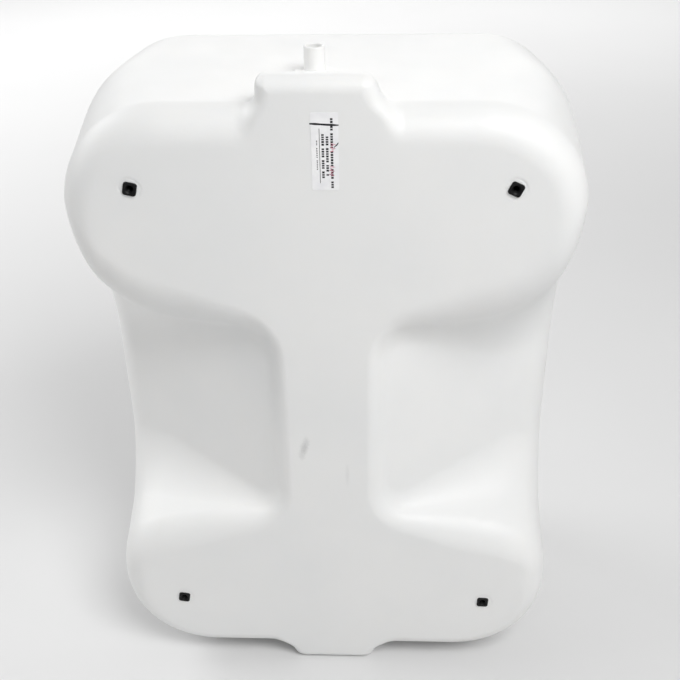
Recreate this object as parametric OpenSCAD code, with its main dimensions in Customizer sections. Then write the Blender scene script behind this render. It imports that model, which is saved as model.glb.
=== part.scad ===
// Vertical rotomoulded fresh water tank with an H-shaped mounting face.
// +X is to the right of the face, +Y runs from the face to the back, +Z is up.
// The origin is under the middle of the whole part, on the surface that the foot stands on.

/* [Body] */
// Width across the body
body_w = 582; // [560:1:610]
// Height of the body, without the foot and the crest
body_h = 789; // [770:1:810]
// Depth from the face to the back
body_d = 352; // [335:1:370]
// Thickness of the moulded wall
wall = 6; // [5:0.5:8]
// Height of the foot below the body
foot_h = 24; // [18:1:30]
// Height of the crest above the body
crest_h = 35; // [26:1:44]
// Depth of the crest, from the face
crest_d = 34; // [30:1:50]
// Width of the flat spine between the recesses
spine_w = 120; // [110:1:130]

/* [Side recesses] */
// Depth of a recess where it meets the spine
recess_in = 14; // [10:1:20]
// Depth of a recess at the side of the body
recess_out = 140; // [120:1:150]
// Height of the recess's upper edge at the spine
recess_high = 552; // [540:1:560]
// Height of the recess's lower edge at the spine
recess_low = 266; // [256:1:280]

/* [Mounting inserts] */
// Distance between the inserts across the face
insert_dx = 412; // [400:1:424]
// Distance between the inserts up the face
insert_dz = 609; // [590:1:620]
// Width of an insert's square head
insert_head_w = 15; // [14:0.5:18]
// How far a head stands out of the face
insert_proud = 2; // [1:0.5:3]
// Diameter of the tapped hole
insert_hole_d = 6.8; // [6:0.1:8]

/* [Vent spigot] */
// Outer diameter of the spigot
spigot_d = 24; // [22:1:26]
// Height of the spigot above the body
spigot_h = 34; // [30:1:40]

/* [Filling neck and cap] */
// Outer diameter of the neck under the cap
neck_d = 116; // [110:1:122]
// Height of the neck's centre
neck_z = 680; // [640:1:690]
// Travel of the cap for each turn
cap_pitch = 4; // [3:0.5:5]

/* [Outlet] */
// Distance of the outlet from the middle of the back
outlet_x = -130; // [-160:1:-90]
// Height of the outlet's axis
outlet_z = 116; // [112:1:150]
// Bore of the hose barb
outlet_bore = 14; // [12:0.5:15]

/* [Drain cock] */
// Height of the drain's axis
drain_z = 36; // [34:1:44]
// Bore through the drain
drain_bore = 12; // [10:0.5:13]
// Length of the lever from its axis
lever_len = 62; // [50:1:75]

/* [Hidden] */
$fn = 64;

// Clearances
running = 0.05;      // radial, between a turning part and its bore
ball_gap = 0.2;      // between the ball and its seats
mesh_overlap = 1;    // how far a fused boss reaches into the wall

// Body outline
corner_r = 125;      // corners of the body at the face, seen from the front
corner_mid_r = 75;   // the same corners halfway to the back
corner_back_r = 105; // the same corners at the back
front_r = 38;        // edge round the face
back_r = 60;         // edge round the back
crest_r = 12;        // front edge of the crest
crest_x = -6;        // middle of the crest
crest_top_w = 120;
crest_base_w = 132;
foot_top_w = 130;
foot_tip_w = 104;
recess_high_rise = 42;   // rise of the upper edge from the spine to the side
recess_low_fall = 50;    // fall of the lower edge from the spine to the side
ear_r = 90;              // outer corners of the pads, next to the recesses
lean_high = 0.4;         // fall of the upper wall for each millimetre of depth
lean_low = 0.45;         // rise of the lower wall for each millimetre of depth
lean_spine = 0.3;        // spread of the spine for each millimetre of depth

// Insert, spigot and label details
insert_barrel_d = 12;
insert_len = 22;
insert_head_t = 3;
insert_thread_len = 17;
insert_sink_d = 11;
insert_boss_d = 32;
insert_boss_len = 30;
insert_turns = [13, 25, 9, 3];
spigot_x = -12;
spigot_y = 125;
spigot_bore = 17;
spigot_flange_d = 48;
spigot_flange_t = 5;
spigot_tail = 10;
label_w = 25;
label_h = 85;
label_x = 6.5;
label_z = 770;
label_t = 0.3;

// Neck, gasket and cap details
neck_bore = 92;
neck_tail_d = 104;
neck_flange_d = 146;
neck_flange_t = 6;
neck_rim = 24;           // rim of the neck, from the back of the body
gasket_t = 3;
cap_d = 134;
cap_skirt_gap = 2.5;     // gap between the closed cap and the neck's flange
cap_top_t = 6;
cap_grip_h = 13;
cap_grip_w = 18;
cap_grip_len = 104;
cap_rib_count = 24;
cap_rib_w = 5;
cap_rib_h = 3;
cap_rib_inset = 1.5;     // from the cap's rim and top to the ends of its ribs

// Outlet details
bulkhead_tail_d = 33;
bulkhead_bore = 21;
bulkhead_flange_d = 58;
bulkhead_flange_t = 7;
bulkhead_tail = 30;      // from the back of the body inwards
outlet_gasket_t = 3;
outlet_nut_af = 50;
outlet_nut_t = 10;
barb_hex_af = 30;
barb_hex_t = 9;
barb_tail = 15;
barb_len = 30;
barb_root_d = 18;
barb_peak_d = 21;
barb_count = 4;

// Drain details
drain_boss_d = 50;
drain_boss_out = 7;      // from the back of the body outwards
drain_boss_in = 24;      // from the back of the body inwards
bushing_d = 34;
bushing_len = 26;
valve_thread_d = 21;
valve_thread_len = 16;
valve_body_d = 34;
valve_body_len = 40;
ball_d = 22;
ball_at = 19;            // centre of the ball, from the end of the boss
seat_t = 5;
seat_reach = 12;         // far side of a seat, from the centre of the ball
chamber_d = 26;
spout_d = 20;
spout_len = 22;
stem_d = 8;
stem_head_d = 12;
gland_d = 18;
gland_h = 9;
stem_head_t = 1.8;
stem_ring_d = 1.8;
stem_ring_z = 18;        // above the axis of the drain
tang_w = 4;
tang_h = 3;
tang_len = 7;
lever_t = 4;
lever_gap = 0.5;         // between the gland and the lever
screw_d = 4;
screw_len = 7;
screw_head_d = 12;
screw_head_t = 3.5;
lever_hub_d = 18;
lever_w = 12;

// Derived places
half_w = body_w/2;
body_bot = foot_h;
body_top = foot_h + body_h;
crest_top = body_top + crest_h;
back_reach = drain_boss_out + valve_body_len + spout_len;
face_y = (insert_proud - body_d - back_reach)/2;
back_y = face_y + body_d;
mid_z = body_bot + body_h/2 + 5.5;
ball_y = back_y + drain_boss_out + ball_at;
barb_y = back_y + outlet_gasket_t + bulkhead_flange_t;
gland_top = valve_body_d/2 + gland_h;
stem_tip = gland_top + lever_gap + lever_t;

// ---------------------------------------------------------------- shape of the moulded skin

function lerp(a, b, t) = a + (b - a)*t;
function ramp(v, a, b) = min(max((v - a)/(b - a), 0), 1);
function soft_min(a, b, k) = let (h = max(k - abs(a - b), 0)/k) min(a, b) - h*h*k/4;

// How far an edge of radius r has fallen away, u millimetres into it
function edge_fall(u, r) = u <= 0 ? 0 : r - sqrt(max(r*r - min(u, r)*min(u, r), 0));

// Top and bottom of the body at x, for a skin t inside the outer one with corners of radius r
function skin_top(x, t, r) = body_top - t - edge_fall(x - half_w + r, r - t);
function skin_bottom(x, t, r) = body_bot + t + edge_fall(x - half_w + r, r - t)
    - foot_h*ramp(x, foot_top_w/2 - t, foot_tip_w/2 - t);
function crest_rise(side_x, t) =
    crest_h*ramp(abs(side_x - crest_x), crest_base_w/2 - t, crest_top_w/2 - t);

// Upper and lower edges of the recess at x, flared at the side to round the pads
function outward(x) = ramp(x, spine_w/2, half_w);
function recess_top(x, t) = min(
    recess_high + recess_high_rise*outward(x) + t + edge_fall(x - half_w + ear_r, ear_r),
    skin_top(x, t, corner_r) - 14);
function recess_bottom(x, t) = max(
    recess_low - recess_low_fall*outward(x) - t - edge_fall(x - half_w + ear_r, ear_r),
    skin_bottom(x, t, corner_r) + 14);

// Depth of the recess below the face at (x, z)
function recess(x, z, t) = let (
    floor_depth = lerp(recess_in, recess_out, outward(x)),
    under_top = (recess_top(x, t) - z)/lean_high,
    over_bottom = (z - recess_bottom(x, t))/lean_low,
    off_spine = (x - spine_w/2 + t)/lean_spine)
    max(0, soft_min(soft_min(under_top, over_bottom, 30), soft_min(floor_depth, off_spine, 8), 60));

// Face and back at x, rounded off towards the sides
function skin_face(x, t) = t + edge_fall(x - half_w + front_r, front_r - t);
function skin_back(x, t) = body_d - t - edge_fall(x - half_w + back_r, back_r - t);

// Heights of the face's points: pads, the two recess walls and the recess floor
function face_heights(side_x, t, r) = let (
    x = abs(side_x),
    bottom = skin_bottom(x, t, corner_r) + r,
    top = skin_top(x, t, corner_r) + crest_rise(side_x, t) - r,
    high = recess_top(x, t),
    low = min(recess_bottom(x, t), high - 180),
    steps = [6, 14, 26, 42, 62, 86])
    concat(
        [bottom, lerp(bottom, low, 0.5), lerp(bottom, low, 0.95)],
        [for (s = steps) low + s],
        [(low + high)/2],
        [for (i = [len(steps) - 1:-1:0]) high - steps[i]],
        [lerp(high, top, 0.05), lerp(high, top, 0.5), top]);
face_count = 19;

// Height of the back's point i: level with the face's own point, within the flat of the back
function back_height(z, i, bottom, top) =
    lerp(min(max(z, bottom), top), lerp(bottom, top, i/(face_count - 1)), 0.05);

// One closed section of the skin in the plane at x: face, crest, top, back, bottom
function section(side_x, t) = let (
    x = abs(side_x),
    y0 = skin_face(x, t),
    y1 = skin_back(x, t),
    z0 = skin_bottom(x, t, corner_r),
    z1 = skin_top(x, t, corner_r),
    z0_mid = skin_bottom(x, t, corner_mid_r),
    z1_mid = skin_top(x, t, corner_mid_r),
    z0_back = skin_bottom(x, t, corner_back_r),
    z1_back = skin_top(x, t, corner_back_r),
    zc = z1 + crest_rise(side_x, t),
    z_behind = lerp(z1, z1_mid, 2*crest_d/body_d),
    crest_y = crest_d - t,
    from_crest = abs(side_x - crest_x),
    wanted = lerp(front_r, crest_r, ramp(from_crest, crest_base_w/2 + 12, crest_top_w/2)) - t,
    rf = min(max(wanted, 3), (crest_y - y0)/2),
    rb = min(max(back_r - t, 3), (y1 - crest_y)/2),
    zs = face_heights(side_x, t, rf),
    arc_up = [30, 60, 90],
    arc_down = [90, 60, 30])
    concat(
        [for (z = zs) [side_x, y0 + recess(x, z, t), z]],
        [for (a = arc_up) [side_x, y0 + rf*(1 - cos(a)), zc - rf*(1 - sin(a))]],
        [[side_x, max(y0 + rf + 1, crest_y - 4), zc],
         [side_x, max(y0 + rf + 2, crest_y + 4), z_behind],
         [side_x, body_d/2, z1_mid]],
        [for (a = arc_down) [side_x, y1 - rb*(1 - cos(a)), z1_back - rb*(1 - sin(a))]],
        [for (i = [face_count - 1:-1:0])
            [side_x, y1, back_height(zs[i], i, z0_back + rb, z1_back - rb)]],
        [for (a = arc_up) [side_x, y1 - rb*(1 - cos(a)), z0_back + rb*(1 - sin(a))]],
        [[side_x, body_d/2, z0_mid]],
        [for (a = arc_down) [side_x, y0 + rf*(1 - cos(a)), z0 + rf*(1 - sin(a))]]);

// Places across the body where sections are taken, closest together where the skin bends
function section_places(t) = let (
    inner = [12, 30, 46, 54, 60, 66, 72, 78, 92, 115, 140, 166, 190, 210, 226, 240],
    edge = [for (a = [0:15:90]) half_w - front_r + (front_r - t)*sin(a)],
    right = concat(inner, edge))
    concat([for (i = [len(right) - 1:-1:0]) -right[i]], [0], right);

// Triangles that close one end of the skin, whose first section point is at index o
function end_cap(o, flip) = let (
    b = face_count + 9 + face_count - 1,
    strip = [for (i = [0:face_count - 2])
        each [[o + i, o + i + 1, o + b - i - 1], [o + i, o + b - i - 1, o + b - i]]],
    top = [for (i = [face_count:face_count + 8]) [o + face_count - 1, o + i, o + i + 1]],
    bottom = [for (i = [b:b + 6]) [o + i, o + i + 1, o]],
    faces = concat(strip, top, bottom))
    [for (f = faces) flip ? [f[2], f[1], f[0]] : f];

// Closed skin of the moulding, t inside the outer surface, with its face at y = 0
module skin(t) {
    sections = [for (x = section_places(t)) section(x, t)];
    n = len(sections[0]);
    m = len(sections);
    sides = [for (i = [0:m - 2], j = [0:n - 1])
        let (a = i*n + j, b = i*n + (j + 1) % n) each [[a, b, a + n], [b, b + n, a + n]]];
    polyhedron(
        points = [for (s = sections) each s],
        faces = concat(sides, end_cap(0, true), end_cap((m - 1)*n, false)));
}

// ---------------------------------------------------------------- small helpers

// A child drawn along +Z is laid along +Y
module along_y() {
    rotate([-90, 0, 0]) children();
}

module ring(outer_d, inner_d, h) {
    difference() {
        cylinder(d = outer_d, h = h);
        translate([0, 0, -1]) cylinder(d = inner_d, h = h + 2);
    }
}

module round_square(w, r) {
    square([w, w - 2*r], center = true);
    square([w - 2*r, w], center = true);
    for (x = [-1, 1], z = [-1, 1]) translate([x*(w/2 - r), z*(w/2 - r)]) circle(r);
}

module hexagon(across_flats, h) {
    cylinder(d = across_flats/cos(30), h = h, $fn = 6);
}

// Insert i: 0 and 1 are the upper pair, 2 and 3 the lower pair, left before right
function insert_place(i) = [
    (i % 2 == 0 ? -1 : 1)*insert_dx/2,
    face_y,
    mid_z + (i < 2 ? 1 : -1)*insert_dz/2];

// ---------------------------------------------------------------- tank

module insert_pocket(i) {
    translate(insert_place(i)) along_y() {
        cylinder(d = insert_barrel_d, h = insert_len);
        rotate(insert_turns[i])
            translate([0, 0, -insert_proud])
                linear_extrude(insert_proud + insert_head_t) round_square(insert_head_w, 2.5);
    }
}

module tank_shell() {
    color("whitesmoke") difference() {
        union() {
            translate([0, face_y, 0]) skin(0);
            translate([0, back_y - back_r, drain_z])
                along_y() cylinder(d = drain_boss_d, h = back_r + drain_boss_out);
        }
        difference() {
            translate([0, face_y, 0]) skin(wall);
            for (i = [0:3])
                translate(insert_place(i) + [0, mesh_overlap, 0])
                    along_y() cylinder(d = insert_boss_d, h = insert_boss_len);
            translate([0, back_y - drain_boss_in, drain_z])
                along_y() cylinder(d = drain_boss_d, h = drain_boss_in);
        }
        for (i = [0:3]) insert_pocket(i);
        translate([spigot_x, face_y + spigot_y, body_top - 2*wall])
            cylinder(d = spigot_d, h = 3*wall);
        translate([0, back_y - 2*wall, neck_z])
            along_y() cylinder(d = neck_tail_d, h = 3*wall);
        translate([outlet_x, back_y - 2*wall, outlet_z])
            along_y() cylinder(d = bulkhead_tail_d, h = 3*wall);
        translate([0, back_y + drain_boss_out - bushing_len, drain_z])
            along_y() cylinder(d = bushing_d, h = bushing_len + 1);
        translate([0, back_y - back_r - wall, drain_z])
            along_y() cylinder(d = valve_thread_d, h = back_r + wall);
    }
}

module mounting_insert(i) {
    color([0.05, 0.05, 0.05]) translate(insert_place(i)) along_y() difference() {
        union() {
            cylinder(d = insert_barrel_d, h = insert_len);
            rotate(insert_turns[i])
                translate([0, 0, -insert_proud])
                    linear_extrude(insert_proud + insert_head_t) round_square(insert_head_w, 2.5);
        }
        translate([0, 0, -insert_proud - 1])
            cylinder(d = insert_hole_d, h = insert_thread_len + insert_proud + 1);
        translate([0, 0, -insert_proud])
            cylinder(d1 = insert_sink_d, d2 = insert_hole_d, h = (insert_sink_d - insert_hole_d)/2);
    }
}

module mounting_insert_top_left() {
    mounting_insert(0);
}

module mounting_insert_top_right() {
    mounting_insert(1);
}

module mounting_insert_bottom_left() {
    mounting_insert(2);
}

module mounting_insert_bottom_right() {
    mounting_insert(3);
}

module vent_spigot() {
    color("white") translate([spigot_x, face_y + spigot_y, body_top]) difference() {
        union() {
            cylinder(d = spigot_flange_d, h = spigot_flange_t);
            translate([0, 0, -spigot_tail]) cylinder(d = spigot_d, h = spigot_tail + spigot_h);
        }
        translate([0, 0, -spigot_tail - 1]) cylinder(d = spigot_bore, h = spigot_tail + spigot_h + 2);
    }
}

module test_label() {
    color("white") translate([label_x - label_w/2, face_y - label_t, label_z - label_h/2])
        cube([label_w, label_t, label_h]);
}

// ---------------------------------------------------------------- filling neck and cap

module fill_neck() {
    color("white") translate([0, back_y, neck_z]) along_y() difference() {
        union() {
            cylinder(d = neck_flange_d, h = neck_flange_t);
            cylinder(d = neck_d, h = neck_rim);
            translate([0, 0, -2*wall]) cylinder(d = neck_tail_d, h = 2*wall + 1);
        }
        translate([0, 0, -2*wall - 1]) cylinder(d = neck_bore, h = 2*wall + neck_rim + 2);
    }
}

module fill_cap_gasket() {
    color([0.2, 0.2, 0.2]) translate([0, back_y + neck_rim, neck_z])
        along_y() ring(neck_d - 1, neck_bore + 4, gasket_t);
}

module fill_cap() {
    skirt = neck_flange_t + cap_skirt_gap;
    inside = neck_rim + gasket_t;
    color([0.1, 0.1, 0.1]) translate([0, back_y, neck_z]) along_y() {
        difference() {
            translate([0, 0, skirt]) cylinder(d = cap_d, h = inside + cap_top_t - skirt);
            translate([0, 0, skirt - 1]) cylinder(d = neck_d + 2*running, h = inside - skirt + 1);
        }
        for (i = [0:cap_rib_count - 1])
            rotate(i*360/cap_rib_count)
                translate([cap_d/2 - 1, -cap_rib_w/2, skirt + cap_rib_inset])
                    cube([cap_rib_h + 1, cap_rib_w, inside + cap_top_t - skirt - 2*cap_rib_inset]);
        translate([-cap_grip_len/2, -cap_grip_w/2, inside + cap_top_t - 1])
            cube([cap_grip_len, cap_grip_w, cap_grip_h + 1]);
    }
}

// ---------------------------------------------------------------- outlet

module outlet_bulkhead() {
    color([0.12, 0.12, 0.12]) translate([outlet_x, back_y, outlet_z]) along_y() difference() {
        union() {
            translate([0, 0, -bulkhead_tail])
                cylinder(d = bulkhead_tail_d, h = bulkhead_tail + outlet_gasket_t + 1);
            translate([0, 0, outlet_gasket_t]) cylinder(d = bulkhead_flange_d, h = bulkhead_flange_t);
        }
        translate([0, 0, -bulkhead_tail - 1])
            cylinder(d = bulkhead_bore, h = bulkhead_tail + outlet_gasket_t + bulkhead_flange_t + 2);
    }
}

module outlet_gasket() {
    color([0.2, 0.2, 0.2]) translate([outlet_x, back_y, outlet_z])
        along_y() ring(bulkhead_flange_d - 2, bulkhead_tail_d, outlet_gasket_t);
}

module outlet_nut() {
    color([0.12, 0.12, 0.12]) translate([outlet_x, back_y - wall - outlet_nut_t, outlet_z])
        along_y() difference() {
            hexagon(outlet_nut_af, outlet_nut_t);
            translate([0, 0, -1]) cylinder(d = bulkhead_tail_d, h = outlet_nut_t + 2);
        }
}

module outlet_barb() {
    pitch = barb_len/barb_count;
    color([0.12, 0.12, 0.12]) translate([outlet_x, barb_y, outlet_z]) along_y() difference() {
        union() {
            translate([0, 0, -barb_tail]) cylinder(d = bulkhead_bore, h = barb_tail);
            hexagon(barb_hex_af, barb_hex_t);
            for (i = [0:barb_count - 1])
                translate([0, 0, barb_hex_t + i*pitch])
                    cylinder(d1 = barb_peak_d, d2 = barb_root_d, h = pitch);
        }
        translate([0, 0, -barb_tail - 1])
            cylinder(d = outlet_bore, h = barb_tail + barb_hex_t + barb_len + 2);
    }
}

// ---------------------------------------------------------------- drain cock

module drain_bushing() {
    color("goldenrod") translate([0, back_y + drain_boss_out - bushing_len, drain_z])
        along_y() ring(bushing_d, valve_thread_d, bushing_len);
}

module drain_valve_body() {
    color("goldenrod") translate([0, back_y + drain_boss_out, drain_z]) difference() {
        union() {
            along_y() cylinder(d = valve_body_d, h = valve_body_len);
            translate([0, -valve_thread_len, 0])
                along_y() cylinder(d = valve_thread_d, h = valve_thread_len + 1);
            translate([0, ball_at, 0]) cylinder(d = gland_d, h = gland_top);
        }
        translate([0, -valve_thread_len - 1, 0])
            along_y() cylinder(d = drain_bore, h = valve_body_len);
        translate([0, ball_at - seat_reach, 0])
            along_y() cylinder(d = chamber_d, h = valve_body_len);
        translate([0, ball_at, 0]) cylinder(d = stem_d + 2*running, h = gland_top + 1);
        translate([0, ball_at, 0]) cylinder(d = stem_head_d + 2*running, h = chamber_d/2);
    }
}

module drain_valve_retainer() {
    start = ball_at + seat_reach;
    color("goldenrod") translate([0, back_y + drain_boss_out, drain_z]) along_y() difference() {
        union() {
            translate([0, 0, start]) cylinder(d = chamber_d, h = valve_body_len - start);
            translate([0, 0, start]) cylinder(d = spout_d, h = valve_body_len + spout_len - start);
        }
        cylinder(d = drain_bore, h = valve_body_len + spout_len + 1);
    }
}

// A seat that hugs the ball, with its near side at y from the centre of the ball
module drain_seat(y) {
    color("ivory") translate([0, ball_y, drain_z]) difference() {
        translate([0, y, 0]) along_y() ring(chamber_d, drain_bore, seat_t);
        sphere(r = ball_d/2 + ball_gap);
    }
}

module drain_seat_inner() {
    drain_seat(-seat_reach);
}

module drain_seat_outer() {
    drain_seat(seat_reach - seat_t);
}

// Closed at rest: the bore lies across the flow
module drain_ball() {
    color("silver") translate([0, ball_y, drain_z]) difference() {
        sphere(d = ball_d);
        rotate([0, 90, 0]) cylinder(d = drain_bore, h = ball_d + 2, center = true);
        translate([-ball_d/2, -tang_w/2, ball_d/2 - tang_h]) cube([ball_d, tang_w, tang_h + 1]);
    }
}

module drain_stem() {
    head_z = ball_d/2;
    color("silver") translate([0, ball_y, drain_z]) {
        translate([-tang_len/2, -tang_w/2, head_z - tang_h]) cube([tang_len, tang_w, tang_h]);
        translate([0, 0, head_z]) cylinder(d = stem_head_d, h = stem_head_t);
        difference() {
            translate([0, 0, head_z]) cylinder(d = stem_d, h = stem_tip - head_z);
            translate([0, 0, stem_ring_z]) ring(stem_d + 2, stem_d - 2*stem_ring_d, stem_ring_d);
            translate([0, 0, stem_tip - screw_len]) cylinder(d = screw_d, h = screw_len + 1);
        }
    }
}

module drain_stem_ring() {
    color([0.1, 0.1, 0.1]) translate([0, ball_y, drain_z + stem_ring_z])
        ring(stem_d, stem_d - 2*stem_ring_d, stem_ring_d);
}

module drain_lever() {
    color("red") translate([0, ball_y, drain_z + gland_top + lever_gap]) difference() {
        union() {
            cylinder(d = lever_hub_d, h = lever_t);
            translate([0, -lever_w/2, 0]) cube([lever_len - lever_w/2, lever_w, lever_t]);
            translate([lever_len - lever_w/2, 0, 0]) cylinder(d = lever_w, h = lever_t);
        }
        translate([0, 0, -1]) cylinder(d = stem_d, h = lever_t + 2);
    }
}

module drain_lever_screw() {
    color("silver") translate([0, ball_y, drain_z + stem_tip]) difference() {
        union() {
            cylinder(d = screw_head_d, h = screw_head_t);
            translate([0, 0, -screw_len]) cylinder(d = screw_d, h = screw_len + 1);
        }
        translate([-1, -screw_head_d, screw_head_t - 1.5]) cube([2, 2*screw_head_d, 2]);
    }
}

tank_shell();
mounting_insert_top_left();
mounting_insert_top_right();
mounting_insert_bottom_left();
mounting_insert_bottom_right();
vent_spigot();
test_label();
fill_neck();
fill_cap_gasket();
fill_cap();
outlet_bulkhead();
outlet_gasket();
outlet_nut();
outlet_barb();
drain_bushing();
drain_valve_body();
drain_valve_retainer();
drain_seat_inner();
drain_seat_outer();
drain_ball();
drain_stem();
drain_stem_ring();
drain_lever();
drain_lever_screw();
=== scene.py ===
"""Looks of the fresh water tank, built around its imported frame.

Shapes are worked out in millimetres in the row frame, and turned into metres as each mesh is made.
Most of them are distance fields: functions of x, y and z that are negative inside the piece.
"""

import math

import bpy
import numpy as np
from mathutils import Matrix, Vector


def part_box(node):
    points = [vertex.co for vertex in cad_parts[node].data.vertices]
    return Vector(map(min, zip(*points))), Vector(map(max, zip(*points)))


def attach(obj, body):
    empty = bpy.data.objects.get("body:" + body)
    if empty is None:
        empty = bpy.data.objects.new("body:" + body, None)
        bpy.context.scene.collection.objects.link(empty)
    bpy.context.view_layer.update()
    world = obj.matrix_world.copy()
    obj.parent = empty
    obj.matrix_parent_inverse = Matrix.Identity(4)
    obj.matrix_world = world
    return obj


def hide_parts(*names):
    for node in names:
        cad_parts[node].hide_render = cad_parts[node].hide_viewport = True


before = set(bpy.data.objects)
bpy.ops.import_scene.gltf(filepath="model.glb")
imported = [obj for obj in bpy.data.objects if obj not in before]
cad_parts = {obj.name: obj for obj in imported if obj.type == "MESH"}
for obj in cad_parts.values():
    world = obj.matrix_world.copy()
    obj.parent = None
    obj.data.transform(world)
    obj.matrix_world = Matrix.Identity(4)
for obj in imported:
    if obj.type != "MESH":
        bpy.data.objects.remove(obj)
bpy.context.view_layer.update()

MM = 0.001
FULL_TURN = 2 * math.pi


class Sizes:
    """Named sizes: lengths are in millimetres, leans are ratios, and comments name the rest."""

    def __init__(self, **sizes):
        for name, size in sizes.items():
            setattr(self, name, size)


def cad(node):
    """A CAD node's lowest and highest corners, in millimetres."""
    low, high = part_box(node)
    return np.array(low) / MM, np.array(high) / MM


def centre(node):
    low, high = cad(node)
    return (low + high) / 2


# ---------------------------------------------------------------- places taken from the frame

shell_low, shell_high = cad("tank_shell")
FACE_Y = shell_low[1]
HALF_W = shell_high[0]
CREST_TOP = shell_high[2]
BODY_D = 352.0
BACK_Y = FACE_Y + BODY_D
BODY_BOTTOM, BODY_TOP = 24.0, 813.0
CORNERS = ("top_left", "top_right", "bottom_left", "bottom_right")
INSERTS = [centre("mounting_insert_" + corner) for corner in CORNERS]
INSERT_TURNS = (13, 25, 9, 3)
DRAIN_Z = centre("drain_bushing")[2]

# ---------------------------------------------------------------- parts of distance fields


def mix(a, b, t):
    return a + (b - a) * t


def smooth(v, a, b):
    t = np.clip((v - a) / (b - a), 0, 1)
    return t * t * (3 - 2 * t)


def both(a, b, r):
    """Intersection of two fields, with an edge of radius r."""
    outside = np.hypot(np.maximum(r + a, 0), np.maximum(r + b, 0))
    return np.minimum(-r, np.maximum(a, b)) + outside


def either(a, b, r):
    """Union of two fields, with a fillet of radius r."""
    return -both(-a, -b, r)


def slab(v, low, high):
    return np.abs(v - (low + high) / 2) - (high - low) / 2


def disc(u, v, r):
    return np.hypot(u, v) - r


def post(u, v, h, r, low, high, edge=1.0):
    """A round bar along h."""
    return both(disc(u, v, r), slab(h, low, high), edge)


def pad(u, v, half_u, half_v, r):
    return both(np.abs(u) - half_u, np.abs(v) - half_v, r)


def hexagon(u, v, flats, r=0.8):
    c, s = math.cos(math.radians(60)), math.sin(math.radians(60))
    pair = both(np.abs(u) - flats / 2, np.abs(c * u + s * v) - flats / 2, r)
    return both(pair, np.abs(c * u - s * v) - flats / 2, r)


def turned(u, v, degrees):
    c, s = math.cos(math.radians(degrees)), math.sin(math.radians(degrees))
    return c * u + s * v, c * v - s * u


# ---------------------------------------------------------------- tank

# Half widths at the face and the back, and the radius of the four corners at three depths.
# middle_at is a part of the whole depth.
OUTLINE = Sizes(
    front_w=HALF_W, back_w=HALF_W - 4, front_r=125.0, middle_r=75.0, back_r=105.0, middle_at=0.5,
)
# Radii of the edges round the face and the back, which change with height and near the ribs.
EDGES = Sizes(
    front=38.0, low=24.0, back=60.0, crest=17.0, foot=12.0,
    low_end=40, front_start=170, rib_in=5, rib_out=20, rib_reach=45,
)
# The crest and the foot. Widths are half widths. A ridge goes root deep into the body, and its
# sides stop widening at spread.
RIBS = Sizes(
    crest_x=-6.0, crest_tip_w=60.0, crest_base_left=63.0, crest_base_right=74.0,
    crest_depth=32.0, crest_slope=8, crest_drop=30, side_blend=20,
    foot_tip_w=52.0, foot_base_w=64.0,
    round=11.0, crest_fillet=13.0, foot_fillet=8.0, spread=25, root=60,
)
# The recess on each side of the spine: inner is at the spine, outer is at the side of the tank.
# full_fillet_at, full_rim_at and most_out are parts of the way from one to the other.
RECESS = Sizes(
    spine_w=60.0, spine_lean=0.15, inner_depth=14.0, outer_depth=140.0,
    top_inner=556.0, top_outer=597.0, top_lean=0.85,
    low_inner=266.0, low_outer=216.0, low_lean=0.45,
    corner=35.0, high_ear=110.0, low_ear=70.0,
    inner_fillet=12.0, low_fillet=48.0, high_fillet=40.0, full_fillet_at=0.9,
    inner_rim=13.0, outer_rim=28.0, full_rim_at=0.6,
    upper_start=330, upper_end=490, past_side=2, most_out=1.3,
)
BOSS = Sizes(r=25, inside=70, outside=7, edge=1.5, fillet=5.0)
POCKET = Sizes(r=6.3, depth=24, ring_r=11.2, ring_w=1.3, ring_depth=0.45, face_depth=10)


def rib(ax, z, base, tip, full, tip_w, base_w):
    """A ridge from height base to tip, whose leaning sides are set out from base to full."""
    up = 1 if full > base else -1
    over = up * (z - base)
    lean = (base_w - tip_w) / abs(full - base)
    side = (ax - (base_w - lean * np.maximum(over, -RIBS.spread))) / np.hypot(1, lean)
    return np.maximum(both(side, over - up * (tip - base), RIBS.round), -over - RIBS.root)


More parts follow.
